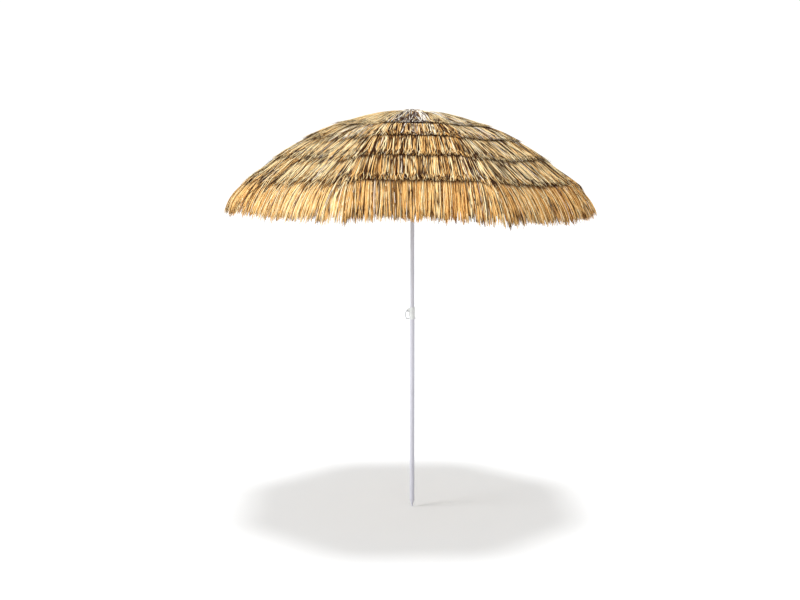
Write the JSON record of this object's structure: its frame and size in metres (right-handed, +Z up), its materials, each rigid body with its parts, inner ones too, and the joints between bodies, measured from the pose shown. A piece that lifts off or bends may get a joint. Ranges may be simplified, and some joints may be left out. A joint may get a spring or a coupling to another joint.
{
  "type": "beach umbrella",
  "caption": "Thatched beach umbrella: pointed two-section pole with a pinned height lock, bowed folding ribs and a sliding runner under a tiered straw canopy.",
  "frame": {"origin": "the pole's axis at the tip of the ground spike", "axes": "+Z up the pole; +Y away from the front, so a flat canopy panel faces -Y; the clip's grip is on the -X side"},
  "size_m": [1.8264, 1.8264, 2.137],
  "materials": {
    "painted_steel": "gloss",
    "white_plastic": "satin",
    "zinc_wire": "satin",
    "straw": "matte",
    "pale_straw": "matte"
  },
  "bodies": {
    "lower": {"lower_pole": "painted_steel", "ground_spike": "painted_steel", "pole_collar": "white_plastic"},
    "clip": {"locking_clip": "zinc_wire"},
    "upper": {"upper_pole": "painted_steel", "pole_end_plug": "white_plastic", "crown_hub": "white_plastic", "crown_wire": "zinc_wire", "crown_cap": "white_plastic", "cap_screw": "zinc_wire", "crown_tuft": "pale_straw"},
    "catch": {"runner_catch": "zinc_wire"},
    "arm_1": {"rib_1": "painted_steel", "rib_bracket_1": "white_plastic", "rib_tip_1": "white_plastic", "canopy_gore_1": "straw"},
    "arm_2": {"rib_2": "painted_steel", "rib_bracket_2": "white_plastic", "rib_tip_2": "white_plastic", "canopy_gore_2": "straw"},
    "arm_3": {"rib_3": "painted_steel", "rib_bracket_3": "white_plastic", "rib_tip_3": "white_plastic", "canopy_gore_3": "straw"},
    "arm_4": {"rib_4": "painted_steel", "rib_bracket_4": "white_plastic", "rib_tip_4": "white_plastic", "canopy_gore_4": "straw"},
    "arm_5": {"rib_5": "painted_steel", "rib_bracket_5": "white_plastic", "rib_tip_5": "white_plastic", "canopy_gore_5": "straw"},
    "arm_6": {"rib_6": "painted_steel", "rib_bracket_6": "white_plastic", "rib_tip_6": "white_plastic", "canopy_gore_6": "straw"},
    "arm_7": {"rib_7": "painted_steel", "rib_bracket_7": "white_plastic", "rib_tip_7": "white_plastic", "canopy_gore_7": "straw"},
    "arm_8": {"rib_8": "painted_steel", "rib_bracket_8": "white_plastic", "rib_tip_8": "white_plastic", "canopy_gore_8": "straw"},
    "strut_1": {"stretcher_1": "painted_steel"},
    "strut_2": {"stretcher_2": "painted_steel"},
    "strut_3": {"stretcher_3": "painted_steel"},
    "strut_4": {"stretcher_4": "painted_steel"},
    "strut_5": {"stretcher_5": "painted_steel"},
    "strut_6": {"stretcher_6": "painted_steel"},
    "strut_7": {"stretcher_7": "painted_steel"},
    "strut_8": {"stretcher_8": "painted_steel"},
    "slider": {"runner": "white_plastic", "runner_wire": "zinc_wire"}
  },
  "joints": [
    {"name": "height_adjust", "type": "slide", "parent": "lower", "child": "upper", "axis": [0, 0, 1], "range_m": [0, 0.18]},
    {"name": "clip_pull", "type": "slide", "parent": "lower", "child": "clip", "axis": [-1, 0, 0], "range_m": [0, 0.045]},
    {"name": "catch_press", "type": "hinge", "parent": "upper", "child": "catch", "pos_m": [0, -0.0082, 1.715], "axis": [-1, 0, 0], "range_deg": [0, 4], "stiffness_Nm_per_rad": 15},
    {"name": "canopy_fold", "type": "hinge", "parent": "upper", "child": "arm_1", "pos_m": [0.02772, 0.01148, 2.085], "axis": [-0.3827, 0.9239, 0], "range_deg": [0, 60], "deforming": ["canopy_gore_1"]},
    {"name": "rib_2_fold", "type": "hinge", "parent": "upper", "child": "arm_2", "pos_m": [0.01148, 0.02772, 2.085], "axis": [-0.9239, 0.3827, 0], "range_deg": [0, 60], "deforming": ["canopy_gore_2"]},
    {"name": "rib_3_fold", "type": "hinge", "parent": "upper", "child": "arm_3", "pos_m": [-0.01148, 0.02772, 2.085], "axis": [-0.9239, -0.3827, 0], "range_deg": [0, 60], "deforming": ["canopy_gore_3"]},
    {"name": "rib_4_fold", "type": "hinge", "parent": "upper", "child": "arm_4", "pos_m": [-0.02772, 0.01148, 2.085], "axis": [-0.3827, -0.9239, 0], "range_deg": [0, 60], "deforming": ["canopy_gore_4"]},
    {"name": "rib_5_fold", "type": "hinge", "parent": "upper", "child": "arm_5", "pos_m": [-0.02772, -0.01148, 2.085], "axis": [0.3827, -0.9239, 0], "range_deg": [0, 60], "deforming": ["canopy_gore_5"]},
    {"name": "rib_6_fold", "type": "hinge", "parent": "upper", "child": "arm_6", "pos_m": [-0.01148, -0.02772, 2.085], "axis": [0.9239, -0.3827, 0], "range_deg": [0, 60], "deforming": ["canopy_gore_6"]},
    {"name": "rib_7_fold", "type": "hinge", "parent": "upper", "child": "arm_7", "pos_m": [0.01148, -0.02772, 2.085], "axis": [0.9239, 0.3827, 0], "range_deg": [0, 60], "deforming": ["canopy_gore_7"]},
    {"name": "rib_8_fold", "type": "hinge", "parent": "upper", "child": "arm_8", "pos_m": [0.02772, -0.01148, 2.085], "axis": [0.3827, 0.9239, 0], "range_deg": [0, 60], "deforming": ["canopy_gore_8"]},
    {"name": "stretcher_1_fold", "type": "hinge", "parent": "arm_1", "child": "strut_1", "pos_m": [0.44406, 0.18393, 1.95151], "axis": [-0.3827, 0.9239, 0], "range_deg": [-120, 0]},
    {"name": "stretcher_2_fold", "type": "hinge", "parent": "arm_2", "child": "strut_2", "pos_m": [0.18393, 0.44406, 1.95151], "axis": [-0.9239, 0.3827, 0], "range_deg": [-120, 0]},
    {"name": "stretcher_3_fold", "type": "hinge", "parent": "arm_3", "child": "strut_3", "pos_m": [-0.18393, 0.44406, 1.95151], "axis": [-0.9239, -0.3827, 0], "range_deg": [-120, 0]},
    {"name": "stretcher_4_fold", "type": "hinge", "parent": "arm_4", "child": "strut_4", "pos_m": [-0.44406, 0.18393, 1.95151], "axis": [-0.3827, -0.9239, 0], "range_deg": [-120, 0]},
    {"name": "stretcher_5_fold", "type": "hinge", "parent": "arm_5", "child": "strut_5", "pos_m": [-0.44406, -0.18393, 1.95151], "axis": [0.3827, -0.9239, 0], "range_deg": [-120, 0]},
    {"name": "stretcher_6_fold", "type": "hinge", "parent": "arm_6", "child": "strut_6", "pos_m": [-0.18393, -0.44406, 1.95151], "axis": [0.9239, -0.3827, 0], "range_deg": [-120, 0]},
    {"name": "stretcher_7_fold", "type": "hinge", "parent": "arm_7", "child": "strut_7", "pos_m": [0.18393, -0.44406, 1.95151], "axis": [0.9239, 0.3827, 0], "range_deg": [-120, 0]},
    {"name": "stretcher_8_fold", "type": "hinge", "parent": "arm_8", "child": "strut_8", "pos_m": [0.44406, -0.18393, 1.95151], "axis": [0.3827, 0.9239, 0], "range_deg": [-120, 0]},
    {"name": "runner_travel", "type": "hinge", "parent": "strut_1", "child": "slider", "pos_m": [0.02772, 0.01148, 1.81803], "axis": [-0.3827, 0.9239, 0], "range_deg": [0, 60]}
  ],
  "couplings": [
    {"joint": "rib_2_fold", "follows": "canopy_fold", "ratio": 1},
    {"joint": "rib_3_fold", "follows": "canopy_fold", "ratio": 1},
    {"joint": "rib_4_fold", "follows": "canopy_fold", "ratio": 1},
    {"joint": "rib_5_fold", "follows": "canopy_fold", "ratio": 1},
    {"joint": "rib_6_fold", "follows": "canopy_fold", "ratio": 1},
    {"joint": "rib_7_fold", "follows": "canopy_fold", "ratio": 1},
    {"joint": "rib_8_fold", "follows": "canopy_fold", "ratio": 1},
    {"joint": "stretcher_1_fold", "follows": "canopy_fold", "ratio": -2},
    {"joint": "stretcher_2_fold", "follows": "canopy_fold", "ratio": -2},
    {"joint": "stretcher_3_fold", "follows": "canopy_fold", "ratio": -2},
    {"joint": "stretcher_4_fold", "follows": "canopy_fold", "ratio": -2},
    {"joint": "stretcher_5_fold", "follows": "canopy_fold", "ratio": -2},
    {"joint": "stretcher_6_fold", "follows": "canopy_fold", "ratio": -2},
    {"joint": "stretcher_7_fold", "follows": "canopy_fold", "ratio": -2},
    {"joint": "stretcher_8_fold", "follows": "canopy_fold", "ratio": -2},
    {"joint": "runner_travel", "follows": "canopy_fold", "ratio": 1}
  ]
}
